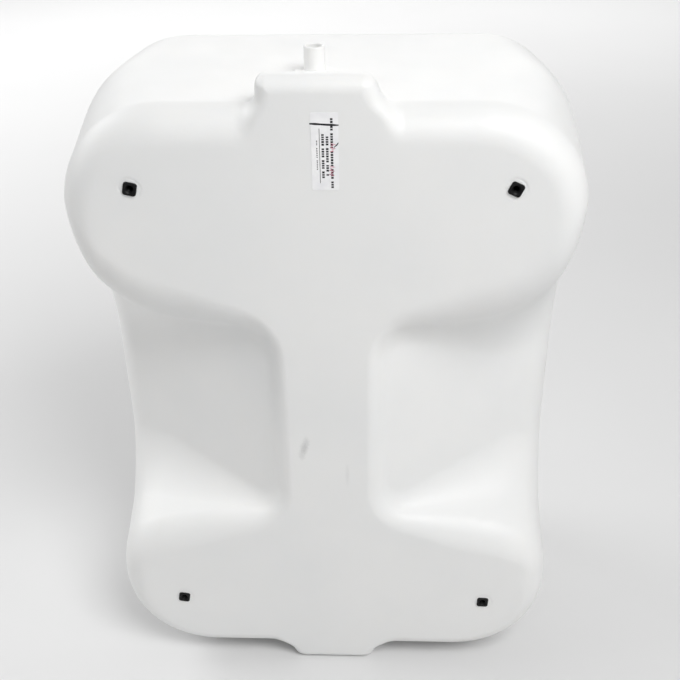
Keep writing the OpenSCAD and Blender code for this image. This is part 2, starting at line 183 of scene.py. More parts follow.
def body_field(x, y, z):
    """The body with its crest and foot, and no recesses; y is the depth behind the face."""
    ax = np.abs(x)
    depth = np.clip(y / BODY_D, 0, 1)
    corner = np.where(
        depth < OUTLINE.middle_at,
        mix(OUTLINE.front_r, OUTLINE.middle_r, smooth(depth, 0, OUTLINE.middle_at)),
        mix(OUTLINE.middle_r, OUTLINE.back_r, smooth(depth, OUTLINE.middle_at, 1)),
    )
    middle, half = (BODY_TOP + BODY_BOTTOM) / 2, (BODY_TOP - BODY_BOTTOM) / 2
    off_middle = np.abs(z - middle) - half
    field = both(ax - mix(OUTLINE.front_w, OUTLINE.back_w, depth), off_middle, corner)

    from_crest = x - RIBS.crest_x
    behind = smooth(y, RIBS.crest_depth - RIBS.crest_slope, RIBS.crest_depth + RIBS.crest_slope)
    tip = mix(CREST_TOP, BODY_TOP - RIBS.crest_drop, behind)
    to_right = smooth(from_crest, -RIBS.side_blend, RIBS.side_blend)
    crest_base = mix(RIBS.crest_base_left, RIBS.crest_base_right, to_right)
    crest = rib(np.abs(from_crest), z, BODY_TOP, tip, CREST_TOP, RIBS.crest_tip_w, crest_base)
    foot = rib(ax, z, BODY_BOTTOM, 0.0, 0.0, RIBS.foot_tip_w, RIBS.foot_base_w)
    field = either(field, crest, RIBS.crest_fillet)
    field = either(field, foot, RIBS.foot_fillet)

    near_rib = 1 - smooth(np.abs(from_crest) - crest_base, -EDGES.rib_in, EDGES.rib_out)
    near_rib = near_rib * smooth(off_middle, -EDGES.rib_reach, 0)
    edge = mix(EDGES.low, EDGES.front, smooth(z, EDGES.low_end, EDGES.front_start))
    edge = mix(edge, np.where(z > middle, EDGES.crest, EDGES.foot), near_rib)
    edge = np.where(y < BODY_D / 2, edge, EDGES.back)
    return both(field, np.abs(y - BODY_D / 2) - BODY_D / 2, edge)


def recess_field(x, y, z):
    """The two recesses as solids, and the radius of their rim."""
    ax = np.abs(x)
    reach = ax - RECESS.spine_w
    span = HALF_W - RECESS.spine_w
    out = np.clip(reach / span, 0, RECESS.most_out)
    upper = smooth(z, RECESS.upper_start, RECESS.upper_end)
    rim = mix(RECESS.inner_rim, RECESS.outer_rim, smooth(out, 0, RECESS.full_rim_at))
    outer_fillet = mix(RECESS.low_fillet, RECESS.high_fillet, upper)
    fillet = mix(RECESS.inner_fillet, outer_fillet, smooth(out, 0, RECESS.full_fillet_at))

    slope = (RECESS.outer_depth - RECESS.inner_depth) / span
    floor = (y - RECESS.inner_depth - slope * reach) / math.hypot(1, slope)
    flank = (RECESS.spine_w + RECESS.spine_lean * y - ax) / math.hypot(1, RECESS.spine_lean)
    rise = (RECESS.top_outer - RECESS.top_inner) / span
    top = z - RECESS.top_inner - rise * reach + RECESS.top_lean * y
    top = top / math.sqrt(1 + rise**2 + RECESS.top_lean**2)
    fall = (RECESS.low_outer - RECESS.low_inner) / span
    low = RECESS.low_inner + fall * reach + RECESS.low_lean * y - z
    low = low / math.sqrt(1 + fall**2 + RECESS.low_lean**2)

    cut = both(both(flank, top, RECESS.corner), low, RECESS.corner)
    beyond = rim + RECESS.past_side
    ear = mix(RECESS.low_ear, RECESS.high_ear, upper)
    cut = either(cut, HALF_W + beyond - ax, ear + beyond)
    return both(cut, floor, fillet), rim


def tank_field(x, y, z):
    """The tank's skin, with its drain boss and the pockets that the inserts sit in."""
    y = y - FACE_Y
    recess, rim = recess_field(x, y, z)
    field = both(body_field(x, y, z), -recess, rim)
    boss = slab(y, BODY_D - BOSS.inside, BODY_D + BOSS.outside)
    boss = both(disc(x, z - DRAIN_Z, BOSS.r), boss, BOSS.edge)
    field = either(field, boss, BOSS.fillet)
    for place in INSERTS:
        across = np.hypot(x - place[0], z - place[2])
        ring = np.exp(-(((across - POCKET.ring_r) / POCKET.ring_w) ** 2))
        field = field + POCKET.ring_depth * ring * (y < POCKET.face_depth)
        field = np.maximum(field, -np.maximum(across - POCKET.r, y - POCKET.depth))
    return field


# ---------------------------------------------------------------- from a field to a mesh


def grid_line(*spans):
    """Grid positions along one axis, from spans of (start, stop, step)."""
    parts = []
    for start, stop, step in spans:
        count = max(int(round((stop - start) / step)), 1)
        parts.append(np.linspace(start, stop, count + 1)[:-1])
    return np.concatenate(parts + [[spans[-1][1]]])


def fine_lines(low, high, step, *places):
    """A grid line from low to high, with a fine stretch round each (place, reach, step)."""
    spans = []
    at = low
    for place, reach, fine in sorted(places):
        spans.append((at, place - reach, step * coarse))
        spans.append((place - reach, place + reach, fine * coarse))
        at = place + reach
    return grid_line(*spans, (at, high, step * coarse))


def gradient(field, p, e=0.25):
    g = np.empty_like(p)
    for i in range(3):
        d = np.zeros(3)
        d[i] = e
        g[:, i] = (field(*(p + d).T) - field(*(p - d).T)) / (2 * e)
    return g


def settle(field, p, rounds, most):
    """Moves points onto the surface where the field is zero, by at most most in each round."""
    flattest = 0.2
    for _ in range(rounds):
        g = gradient(field, p)
        step = field(*p.T) / np.maximum((g * g).sum(1), flattest)
        p = p - np.clip(step, -most, most)[:, None] * g
    return p


def crossings(value, inside, grid, shape):
    """The mean of each grid cell's edge crossings, and how many it has."""
    total = np.zeros(shape + (3,))
    count = np.zeros(shape)

    def corner(a, offset):
        return a[tuple(slice(o, o + n) for o, n in zip(offset, shape))]

    for axis in range(3):
        others = [a for a in range(3) if a != axis]
        for p in (0, 1):
            for q in (0, 1):
                start = [0, 0, 0]
                start[others[0]], start[others[1]] = p, q
                end = list(start)
                end[axis] = 1
                v0, v1 = corner(value, start), corner(value, end)
                crossed = corner(inside, start) != corner(inside, end)
                t = np.where(crossed, v0 / np.where(crossed, v0 - v1, 1), 0)
                for a in range(3):
                    c0, c1 = corner(grid[a], start), corner(grid[a], end)
                    total[..., a] += np.where(crossed, c0 + (c1 - c0) * t, 0)
                count += crossed
    return total, count


def quads_between(inside, number, shape):
    """One quad for each grid edge that crosses the surface, joining the four cells round it."""
    quads = []
    for axis in range(3):
        b, c = (axis + 1) % 3, (axis + 2) % 3
        lead = [slice(None)] * 3
        trail = [slice(None)] * 3
        lead[axis], trail[axis] = slice(0, -1), slice(1, None)
        at = np.argwhere(inside[tuple(lead)] != inside[tuple(trail)])
        keep = (at[:, b] > 0) & (at[:, c] > 0) & (at[:, b] < shape[b]) & (at[:, c] < shape[c])
        at = at[keep]
        leaving = inside[tuple(lead)][tuple(at.T)]
        ring = []
        for db, dc in ((-1, -1), (0, -1), (0, 0), (-1, 0)):
            cell = at.copy()
            cell[:, b] += db
            cell[:, c] += dc
            ring.append(number[tuple(cell.T)])
        ring = np.stack(ring, 1)
        ring[~leaving] = ring[~leaving][:, ::-1]
        quads.append(ring)
    return np.concatenate(quads)


def surface(field, xs, ys, zs, relax=4):
    """Vertices and quads of the surface where the field is zero, one vertex in each cell on it."""
    grid = np.meshgrid(xs, ys, zs, indexing="ij")
    value = field(*grid)
    inside = value < 0
    shape = tuple(n - 1 for n in value.shape)
    total, count = crossings(value, inside, grid, shape)
    used = count > 0
    number = np.full(shape, -1)
    number[used] = np.arange(used.sum())
    points = total[used] / count[used][:, None]
    quads = quads_between(inside, number, shape)

    cell = min(np.diff(a).min() for a in (xs, ys, zs))
    points = settle(field, points, 3, cell)
    pairs = np.concatenate([quads[:, [i, (i + 1) % 4]] for i in range(4)])
    degree = np.bincount(pairs.ravel(), minlength=len(points)).astype(float)
    for _ in range(relax):
        mean = np.zeros_like(points)
        for a in range(3):
            mean[:, a] += np.bincount(pairs[:, 0], points[pairs[:, 1], a], len(points))
            mean[:, a] += np.bincount(pairs[:, 1], points[pairs[:, 0], a], len(points))
        mean /= degree[:, None]
        points = settle(field, points + (mean - points) * 0.5, 1, cell)
    return settle(field, points, 3, cell), quads


def mesh_object(name, points, faces, normals=None):
    """A smooth-shaded mesh object from points in millimetres."""
    mesh = bpy.data.meshes.new(name)
    places = (np.asarray(points, float) * MM).tolist()
    mesh.from_pydata(places, [], [list(map(int, f)) for f in faces])
    mesh.polygons.foreach_set("use_smooth", np.ones(len(mesh.polygons), bool))
    if normals is not None:
        mesh.normals_split_custom_set_from_vertices(normals.tolist())
    mesh.update()
    obj = bpy.data.objects.new(name, mesh)
    bpy.context.scene.collection.objects.link(obj)
    return obj


coarse = 1.0

# The grid has plain steps, and fine stretches: each has its place, its reach and its step.
PLAIN_STEP = 6.2
INSERT_LINES = (15, 1.7)
SPINE_EDGE_LINES = (16, 3)

tank_points, tank_quads = surface(
    tank_field,
    fine_lines(
        -HALF_W - 6, HALF_W + 6, PLAIN_STEP,
        (INSERTS[0][0], *INSERT_LINES), (-66, *SPINE_EDGE_LINES), (0, 28, 4),
        (62, *SPINE_EDGE_LINES), (INSERTS[1][0], *INSERT_LINES),
    ),
    grid_line(
        (FACE_Y - 6, FACE_Y + 60, 3.5 * coarse), (FACE_Y + 60, BACK_Y - 12, 6.5 * coarse),
        (BACK_Y - 12, BACK_Y + 12, 3 * coarse),
    ),
    fine_lines(
        -5, CREST_TOP + 5, PLAIN_STEP,
        (33, 32, 3), (INSERTS[2][2], *INSERT_LINES), (INSERTS[0][2], *INSERT_LINES),
        (CREST_TOP - 28, 30, 3),
    ),
)
tank_normals = gradient(tank_field, tank_points)
tank_normals /= np.linalg.norm(tank_normals, axis=1, keepdims=True)
tank = mesh_object("tank_body", tank_points, tank_quads, tank_normals)
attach(tank, "tank")
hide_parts("tank_shell")


# ---------------------------------------------------------------- materials


class Nodes:
    """Shorthand for building one material's node tree."""

    def __init__(self, name):
        self.material = bpy.data.materials.new(name)
        self.material.use_nodes = True
        self.tree = self.material.node_tree
        self.shader = self.tree.nodes["Principled BSDF"]
        self.place = self.add("ShaderNodeTexCoord").outputs["Object"]

    def add(self, kind, **values):
        node = self.tree.nodes.new(kind)
        for key, value in values.items():
            if hasattr(node, key):
                setattr(node, key, value)
            else:
                self.put(node, key, value)
        return node

    def put(self, node, key, value):
        """Links or sets an input, by number (i0, i1 and on) or by name, with _ for a space."""
        numbered = key[0] == "i" and key[1:].isdigit()
        socket = node.inputs[int(key[1:]) if numbered else key.replace("_", " ")]
        if isinstance(value, bpy.types.NodeSocket):
            self.tree.links.new(value, socket)
        else:
            socket.default_value = value

    def set(self, **values):
        for key, value in values.items():
            self.put(self.shader, key, value)

    def noise(self, scale, detail=2.0, rough=0.5):
        node = self.add(
            "ShaderNodeTexNoise", Vector=self.place, Scale=scale, Detail=detail, Roughness=rough
        )
        return node.outputs["Fac"]

    def math(self, operation, a, b):
        return self.add("ShaderNodeMath", operation=operation, i0=a, i1=b).outputs[0]

    def ramp(self, value, low, high, to_low=0.0, to_high=1.0):
        node = self.add(
            "ShaderNodeMapRange", Value=value,
            From_Min=low, From_Max=high, To_Min=to_low, To_Max=to_high,
        )
        return node.outputs["Result"]

    def blend(self, factor, a, b):
        node = self.add("ShaderNodeMix", data_type="RGBA")
        for key, value in (("i0", factor), ("i6", a), ("i7", b)):
            self.put(node, key, value)
        return node.outputs[2]

    def bump(self, height, distance, strength, normal=None):
        node = self.add("ShaderNodeBump", Height=height, Distance=distance, Strength=strength)
        if normal is not None:
            self.put(node, "Normal", normal)
        return node.outputs["Normal"]

    def near(self, x, y, z, wide, deep, high):
        """0 at a point, 1 on the ellipsoid round it, and more beyond; all in millimetres."""
        kind = "ShaderNodeVectorMath"
        point = (x * MM, y * MM, z * MM)
        scales = (1 / wide / MM, 1 / deep / MM, 1 / high / MM)
        off = self.add(kind, operation="SUBTRACT", i0=self.place, i1=point).outputs[0]
        off = self.add(kind, operation="MULTIPLY", i0=off, i1=scales).outputs[0]
        return self.add(kind, operation="LENGTH", i0=off).outputs["Value"]


def grey(v):
    return (v, v, v, 1.0)


# Scuffs low on the spine: x and z of the place, half width, half height, and how dark.
SCUFFS = (
    (-27.5, 390.0, 5.0, 10.0, 0.16),
    (-30.5, 381.0, 5.5, 10.0, 0.24),
    (-33.5, 371.0, 5.0, 10.0, 0.14),
    (23.0, 340.0, 3.2, 20.0, 0.07),
)
SCUFF_DEPTH = 6.0
SCUFF_GREY = 0.13
PE_TONES = ((0.86, 0.865, 0.86, 1), (0.89, 0.89, 0.88, 1))
PE_SPECK, PE_SPECK_GREY = 0.03, 0.7


def polyethylene(name):
    """Natural polyethylene: milky, patchy in tone, with orange peel, slow waves and scuffs."""
    m = Nodes(name)
    patch = m.ramp(m.noise(6, 3), 0.35, 0.65)
    speck = m.ramp(m.noise(700, 2), 0.3, 0.7)
    colour = m.blend(patch, *PE_TONES)
    colour = m.blend(m.math("MULTIPLY", speck, PE_SPECK), colour, grey(PE_SPECK_GREY))
    rag = m.math("MULTIPLY", m.noise(420, 3), 0.9)
    for x, z, wide, high, dark in SCUFFS:
        spot = m.math("ADD", m.near(x, FACE_Y, z, wide, SCUFF_DEPTH, high), rag)
        colour = m.blend(m.ramp(spot, 0.75, 1.5, dark, 0.0), colour, grey(SCUFF_GREY))
    peel = m.noise(260, 2, 0.55)
    wave = m.noise(9, 1)
    normal = m.bump(wave, 0.0012, 0.25)
    normal = m.bump(peel, 0.0002, 0.25, normal)
    m.set(
        Base_Color=colour, Roughness=m.ramp(m.noise(40, 3), 0.3, 0.7, 0.42, 0.5), Normal=normal,
        Subsurface_Weight=0.12, Subsurface_Radius=(1.0, 0.95, 0.85), Subsurface_Scale=0.004,
    )
    return m.material


def metal(name, colour, rough):
    """Turned metal: fine lines, stains and uneven roughness."""
    m = Nodes(name)
    stain = m.ramp(m.noise(90, 4), 0.35, 0.7)
    dark = tuple(c * 0.72 for c in colour[:3]) + (1.0,)
    normal = m.bump(m.noise(1400, 2), 0.00006, 0.3)
    m.set(
        Base_Color=m.blend(m.math("MULTIPLY", stain, 0.55), colour, dark), Metallic=1.0,
        Roughness=m.ramp(m.noise(260, 3), 0.25, 0.75, rough, rough + 0.16), Normal=normal,
    )
    return m.material


def moulded(name, colour, rough, grain=900, depth=0.00008, specular=0.5):
    """Moulded, coated or printed surface: fine grain, slightly uneven tone and gloss."""
    m = Nodes(name)
    tone = m.ramp(m.noise(55, 3), 0.3, 0.7)
    light = tuple(min(c * 1.35 + 0.003, 1) for c in colour[:3]) + (1.0,)
    m.set(
        Base_Color=m.blend(tone, colour, light),
        Roughness=m.ramp(m.noise(180, 3), 0.3, 0.7, rough, rough + 0.12),
        Normal=m.bump(m.noise(grain, 2), depth, 0.5),
        Specular_IOR_Level=specular,
    )
    return m.material


PE = polyethylene("tank_polyethylene")
BLACK_OXIDE = moulded("black_oxide", (0.003, 0.003, 0.0035, 1), 0.4, 1500, 0.00005, 0.22)
BLACK_PP = moulded("black_polypropylene", (0.012, 0.012, 0.013, 1), 0.38)
RUBBER = moulded("black_rubber", (0.018, 0.018, 0.018, 1), 0.62, 600, 0.0001)
RED_VINYL = moulded("red_vinyl", (0.46, 0.012, 0.008, 1), 0.3, 700, 0.00005)
PTFE = moulded("white_ptfe", (0.78, 0.77, 0.73, 1), 0.36)
BRASS = metal("turned_brass", (0.66, 0.45, 0.17, 1), 0.24)
STEEL = metal("turned_steel", (0.55, 0.55, 0.56, 1), 0.22)
PRINT = moulded("black_print", (0.008, 0.008, 0.009, 1), 0.5)
PEN = moulded("black_pen", (0.004, 0.004, 0.006, 1), 0.32)
RED_PEN = moulded("red_pen", (0.58, 0.16, 0.24, 1), 0.5)
FILM = moulded("label_film", (0.88, 0.88, 0.9, 1), 0.3, 500, 0.00003)
tank.data.materials.append(PE)

for node, material in {
    "fill_cap_gasket": RUBBER, "outlet_gasket": RUBBER, "drain_stem_ring": RUBBER,
    "outlet_nut": BLACK_PP, "drain_bushing": BRASS, "drain_seat_inner": PTFE,
    "drain_seat_outer": PTFE, "drain_ball": STEEL, "drain_stem": STEEL,
}.items():
    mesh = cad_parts[node].data
    mesh.materials.clear()
    mesh.materials.append(material)

# ---------------------------------------------------------------- detailed pieces
# In each field, h runs along the piece's own axis, and u and v (or s) run across it.


def piece(name, field, box, step, node, body, material):
    """Meshes a field over a box of (x, y, z) ranges, as a piece that stands for a CAD node."""
    step = step * coarse
    lines = [grid_line((low - 2 * step, high + 2 * step, step)) for low, high in box]
    points, quads = surface(field, *lines, relax=2)
    normal = gradient(field, points, 0.1)
    normal /= np.maximum(np.linalg.norm(normal, axis=1, keepdims=True), 1e-9)
    obj = mesh_object(name, points, quads, normal)
    obj.data.materials.append(material)
    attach(obj, body)
    if node:
        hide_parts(node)


def around(node, more=0.0):
    low, high = cad(node)
    return [(a - more, b + more) for a, b in zip(low, high)]


INSERT = Sizes(
    half=7.5, corner=3.1, proud=2.0, head_end=3.0, shank_r=6.0, end=22.0,
    thread_r=3.4, thread_depth=0.28, pitch=1.25, bore_start=-6.0, bore_end=17.0,
    sink_r=5.6, sink_end=4.0,
)


def insert_field(place, turn):
    """The field of a mounting insert: a square head, and a threaded bore with a countersink."""

    def field(x, y, z):
        u, v = turned(x - place[0], z - place[2], -turn)
        h = y - FACE_Y
        head = pad(u, v, INSERT.half, INSERT.half, INSERT.corner)
        head = both(head, slab(h, -INSERT.proud, INSERT.head_end), 0.9)
        shape = either(head, post(u, v, h, INSERT.shank_r, 0.0, INSERT.end, 0.6), 0.3)
        phase = FULL_TURN * h / INSERT.pitch - np.arctan2(v, u)
        thread = INSERT.thread_r - INSERT.thread_depth * np.cos(phase)
        bore = both(disc(u, v, thread), slab(h, INSERT.bore_start, INSERT.bore_end), 0.3)
        shape = both(shape, -bore, 0.2)
        sink = (disc(u, v, INSERT.sink_r) + (h + INSERT.proud)) / math.sqrt(2)
        return both(shape, -np.maximum(sink, h - INSERT.sink_end), 0.35)

    return field


SPIGOT = Sizes(r=12.0, bore=8.5, low=-10.0, high=34.0, base_r=24.0, base_low=-2.0, base_high=5.0)
spigot_x, spigot_y = centre("vent_spigot")[:2]


def spigot_field(x, y, z):
    u, v, h = x - spigot_x, y - spigot_y, z - BODY_TOP
    tube = post(u, v, h, SPIGOT.r, SPIGOT.low, SPIGOT.high, 1.3)
    base = post(u, v, h, SPIGOT.base_r, SPIGOT.base_low, SPIGOT.base_high, 2.2)
    return both(either(tube, base, 3.5), -disc(u, v, SPIGOT.bore), 1.3)


NECK_Z = centre("fill_neck")[2]
NECK = Sizes(
    r=58.0, end=24, bore=46.0, flange_r=73.0, flange_low=-2.0, flange_high=6.0,
    tail_r=52.0, tail_low=-12.0, tail_high=3.0,
    pitch=4.0, groove=0.9, groove_starts=(9.5, 11.5), groove_ends=(21, 23),
)


def neck_field(x, y, z):
    u, v, h = x, z - NECK_Z, y - BACK_Y
    phase = (h - NECK.pitch * np.arctan2(u, v) / FULL_TURN) / NECK.pitch
    groove = NECK.groove * smooth(np.cos(FULL_TURN * phase), 0.1, 0.9)
    groove = groove * smooth(h, *NECK.groove_starts) * (1 - smooth(h, *NECK.groove_ends))
    wall = both(disc(u, v, NECK.r) + groove, slab(h, 0, NECK.end), 1.2)
    flange = post(u, v, h, NECK.flange_r, NECK.flange_low, NECK.flange_high, 2.0)
    tail = post(u, v, h, NECK.tail_r, NECK.tail_low, NECK.tail_high, 0.6)
    return both(np.minimum(either(wall, flange, 1.8), tail), -disc(u, v, NECK.bore), 1.4)


# rib_every is in degrees.
CAP = Sizes(
    r=67.0, low=8.5, high=33.0, bore=58.05, bore_low=2.0, bore_high=27.0,
    rib_every=15, rib_half=2.5, rib_r=70.0, rib_low=10.0, rib_high=31.5, rib_root=62.0,
    ring_r=58.8, ring_half=2.4, ring_floor=31.2,
    grip_half=52.0, grip_waist=7.2, grip_flare=1.8, grip_flare_at=46,
    grip_low=28.0, grip_high=46.0,
)


def cap_field(x, y, z):
    """The cap: finger ribs round the rim, a ring groove and a bar grip on top."""
    u, v, h = x, z - NECK_Z, y - BACK_Y
    r, a = np.hypot(u, v), np.arctan2(v, u)
    crown = both(r - CAP.r, slab(h, CAP.low, CAP.high), 3.0)
    step = math.radians(CAP.rib_every)
    off = a - np.round(a / step) * step
    finger = both(np.abs(r * np.sin(off)) - CAP.rib_half, r * np.cos(off) - CAP.rib_r, 1.6)
    finger = both(finger, slab(h, CAP.rib_low, CAP.rib_high), 1.6)
    shape = either(crown, np.maximum(finger, CAP.rib_root - r), 1.6)
    ring = np.abs(r - CAP.ring_r) - CAP.ring_half
    shape = both(shape, -both(ring, CAP.ring_floor - h, 0.9), 1.0)
    half = CAP.grip_waist + CAP.grip_flare * np.clip(u / CAP.grip_flare_at, -1, 1) ** 2
    grip = both(pad(u, v, CAP.grip_half, half, 7.0), slab(h, CAP.grip_low, CAP.grip_high), 3.2)
    shape = either(shape, grip, 3.5)
    hollow = both(r - CAP.bore, slab(h, CAP.bore_low, CAP.bore_high), 0.8)
    return both(shape, -hollow, 0.8)


outlet_x, _, outlet_z = centre("outlet_bulkhead")
BULKHEAD = Sizes(
    r=29.0, low=3.0, high=10.0, bore=10.5, notches=8, notch_r=3.2, collar_r=18.5, collar_low=8.0,
    grooves_r=22.5, groove_off=2.0, groove_size=2.0, tail_r=16.4, tail_low=-30.0, tail_high=4.0,
)
BARB = Sizes(
    flats=30.0, hex_r=16.6, hex_end=9.0, bore=7.0, r=10.5, taper=1.5, tooth=7.5, end=39.0,
    tail_r=10.4, tail_low=-15.0, tail_high=2.0,
)


def bulkhead_field(x, y, z):
    """The outlet's flange, with notches round its edge and two V grooves, and its tail."""
    u, v, h = x - outlet_x, z - outlet_z, y - BACK_Y
    r, a = np.hypot(u, v), np.arctan2(v, u)
    per_half = BULKHEAD.notches // 2
    at = np.round(a * per_half / math.pi) * math.pi / per_half
    notch = disc(u - BULKHEAD.r * np.cos(at), v - BULKHEAD.r * np.sin(at), BULKHEAD.notch_r)
    flange = both(both(r - BULKHEAD.r, -notch, 1.0), slab(h, BULKHEAD.low, BULKHEAD.high), 1.2)
    collar = post(u, v, h, BULKHEAD.collar_r, BULKHEAD.collar_low, BULKHEAD.high, 0.5)
    groove = np.abs(np.abs(r - BULKHEAD.grooves_r) - BULKHEAD.groove_off)
    groove = slab(h, BULKHEAD.high - 1, BULKHEAD.high + 1) + groove - BULKHEAD.groove_size
    flange = both(np.minimum(flange, collar), -groove, 0.4)
    tail = post(u, v, h, BULKHEAD.tail_r, BULKHEAD.tail_low, BULKHEAD.tail_high, 0.8)
    return both(either(flange, tail, 0.4), -disc(u, v, BULKHEAD.bore), 0.8)


def barb_field(x, y, z):
    u, v, h = x - outlet_x, z - outlet_z, y - BACK_Y - BULKHEAD.high
    nut = both(hexagon(u, v, BARB.flats), disc(u, v, BARB.hex_r), 0.5)
    nut = both(nut, slab(h, 0.0, BARB.hex_end), 0.9)
    just_under_four = 3.999
    tooth = np.clip((h - BARB.hex_end) / BARB.tooth, 0, just_under_four)
    barbs = (disc(u, v, BARB.r) + BARB.taper * (tooth - np.floor(tooth))) * 0.9
    barbs = both(barbs, slab(h, 0.0, BARB.end), 0.4)
    tail = post(u, v, h, BARB.tail_r, BARB.tail_low, BARB.tail_high, 0.5)
    return both(np.minimum(either(nut, barbs, 0.8), tail), -disc(u, v, BARB.bore), 0.7)


VALVE_Y = BACK_Y + 7.0
STEM_Y = VALVE_Y + 19.0
VALVE = Sizes(
    r=17.0, end=40.0, flats=31.5, flats_from=30, waist_r=16.2, waist_low=28.2, waist_high=30.4,
    gland_r=9.0, gland_end=20.0, nut_flats=16.4, nut_low=19.0, nut_high=26.0,
    tail_r=10.5, tail_low=-16.0, tail_high=2.0,
    bore=6.0, chamber_r=13.0, chamber_from=7.0, stem_bore=4.05,
)
RETAINER = Sizes(
    r=13.0, low=31.0, high=40.0, spout_r=10.0, spout_end=62.0, bore=6.0,
    neck=0.8, neck_starts=(43, 45), neck_ends=(56.5, 58),
    slot_half=1.4, slot_floor=38.2, slot_from=10.6,
)


def valve_field(x, y, z):
    """The drain cock's body, with its barrel along y and its stem gland upright."""
    u, v, h, s = x, z - DRAIN_Z, y - VALVE_Y, y - STEM_Y
    barrel = post(u, v, h, VALVE.r, 0.0, VALVE.end, 1.2)
    faceted = both(barrel, hexagon(u, v, VALVE.flats, 0.6), 0.5)
    barrel = np.where(h > VALVE.flats_from, faceted, barrel)
    waist = both(slab(h, VALVE.waist_low, VALVE.waist_high), -disc(u, v, VALVE.waist_r), 0.4)
    barrel = both(barrel, -waist, 0.4)
    gland = post(u, s, v, VALVE.gland_r, 0.0, VALVE.gland_end, 0.8)
    nut = both(hexagon(u, s, VALVE.nut_flats, 0.5), disc(u, s, VALVE.gland_r), 0.4)
    nut = both(nut, slab(v, VALVE.nut_low, VALVE.nut_high), 0.6)
    body = either(either(barrel, gland, 3.0), nut, 0.4)
    body = np.minimum(body, post(u, v, h, VALVE.tail_r, VALVE.tail_low, VALVE.tail_high, 0.6))
    chamber = np.maximum(disc(u, v, VALVE.chamber_r), VALVE.chamber_from - h)
    body = both(body, -np.minimum(disc(u, v, VALVE.bore), chamber), 0.5)
    return both(body, -np.maximum(disc(u, s, VALVE.stem_bore), -v), 0.3)


def retainer_field(x, y, z):
    """The ring that holds the ball in, with spanner slots, and the spout on it."""
    u, v, h = x, z - DRAIN_Z, y - VALVE_Y
    ring = post(u, v, h, RETAINER.r, RETAINER.low, RETAINER.high, 0.5)
    neck = RETAINER.neck * smooth(h, *RETAINER.neck_starts)
    neck = neck * (1 - smooth(h, *RETAINER.neck_ends))
    spout = disc(u, v, RETAINER.spout_r) + neck
    spout = both(spout, slab(h, RETAINER.low, RETAINER.spout_end), 0.8)
    slot = np.maximum(np.abs(v) - RETAINER.slot_half, RETAINER.slot_floor - h)
    ring = both(ring, -np.maximum(slot, RETAINER.slot_from - np.abs(u)), 0.3)
    return both(np.minimum(ring, spout), -disc(u, v, RETAINER.bore), 0.8)


LEVER = Sizes(hub_r=9.0, hole_r=4.0, arm_at=24.0, arm_half=32.0, arm_w=5.0, thick=3.2)
SLEEVE = Sizes(
    at=40.5, half=21.5, w=6.0, low=-0.9, high=4.0,
    wave=0.22, wave_long=4.0, wave_starts=(24, 28), wave_ends=(52, 55),
)
SCREW = Sizes(
    head_r=6.0, head_high=3.5, dome_r=12.5, dome_low=9.0, slot_half=0.8, slot_floor=1.9,
    shank_r=1.95, shank_low=-7.0, shank_high=1.0,
)
LEVER_Z = cad("drain_lever")[0][2]
SCREW_TOP = cad("drain_lever_screw")[1][2]


def lever_field(x, y, z):
    u, s, h = x, y - STEM_Y, z - LEVER_Z
    arm = pad(u - LEVER.arm_at, s, LEVER.arm_half, LEVER.arm_w, 4.8)
    plate = both(either(disc(u, s, LEVER.hub_r), arm, 5.0), slab(h, 0.0, LEVER.thick), 0.6)
    return both(plate, -disc(u, s, LEVER.hole_r), 0.4)


def sleeve_field(x, y, z):
    u, s, h = x, y - STEM_Y, z - LEVER_Z
    wave = SLEEVE.wave * np.cos(FULL_TURN * u / SLEEVE.wave_long)
    wave = wave * smooth(u, *SLEEVE.wave_starts) * (1 - smooth(u, *SLEEVE.wave_ends))
    grip = pad(u - SLEEVE.at, s, SLEEVE.half, SLEEVE.w + wave, 5.5)
    return both(grip, slab(h, SLEEVE.low - wave, SLEEVE.high + wave), 1.6)


def screw_field(x, y, z):
    u, s, h = x, y - STEM_Y, z - SCREW_TOP + SCREW.head_high
    head = both(disc(u, s, SCREW.head_r), slab(h, 0.0, SCREW.head_high), 1.1)
    dome = np.sqrt(u * u + s * s + (h + SCREW.dome_low) ** 2) - SCREW.dome_r
    head = both(head, dome, 0.3)
    head = both(head, -np.maximum(np.abs(u) - SCREW.slot_half, SCREW.slot_floor - h), 0.2)
    shank = post(u, s, h, SCREW.shank_r, SCREW.shank_low, SCREW.shank_high, 0.3)
    return np.minimum(head, shank)


# Each row: piece, field, grid step, CAD node that it stands for, body, slot, material.
PIECES = [
    (
        "insert_" + corner, insert_field(place, turn), 0.6, "mounting_insert_" + corner,
        "tank", "insert_black", BLACK_OXIDE,
    )
    for corner, place, turn in zip(CORNERS, INSERTS, INSERT_TURNS)
]
PIECES += [
    ("spigot", spigot_field, 1.2, "vent_spigot", "tank", "shell_plastic", PE),
    ("neck", neck_field, 1.5, "fill_neck", "tank", "shell_plastic", PE),
    ("cap", cap_field, 1.3, "fill_cap", "cap", "fitting_black", BLACK_PP),
    ("bulkhead", bulkhead_field, 0.9, "outlet_bulkhead", "tank", "fitting_black", BLACK_PP),
    ("barb", barb_field, 0.7, "outlet_barb", "tank", "fitting_black", BLACK_PP),
    ("valve_body", valve_field, 0.8, "drain_valve_body", "tank", "brass", BRASS),
    ("spout", retainer_field, 0.7, "drain_valve_retainer", "tank", "brass", BRASS),
    ("lever_plate", lever_field, 0.6, "drain_lever", "drain_handle", "steel", STEEL),
    ("lever_sleeve", sleeve_field, 0.6, None, "drain_handle", "lever_red", RED_VINYL),
    ("lever_screw", screw_field, 0.4, "drain_lever_screw", "drain_handle", "steel", STEEL),
]
for name, field, step, node, body, slot, material in PIECES:
    box = around(node) if node else around("drain_lever", 1.5)
    piece(name, field, box, step, node, body, material)

# ---------------------------------------------------------------- test label

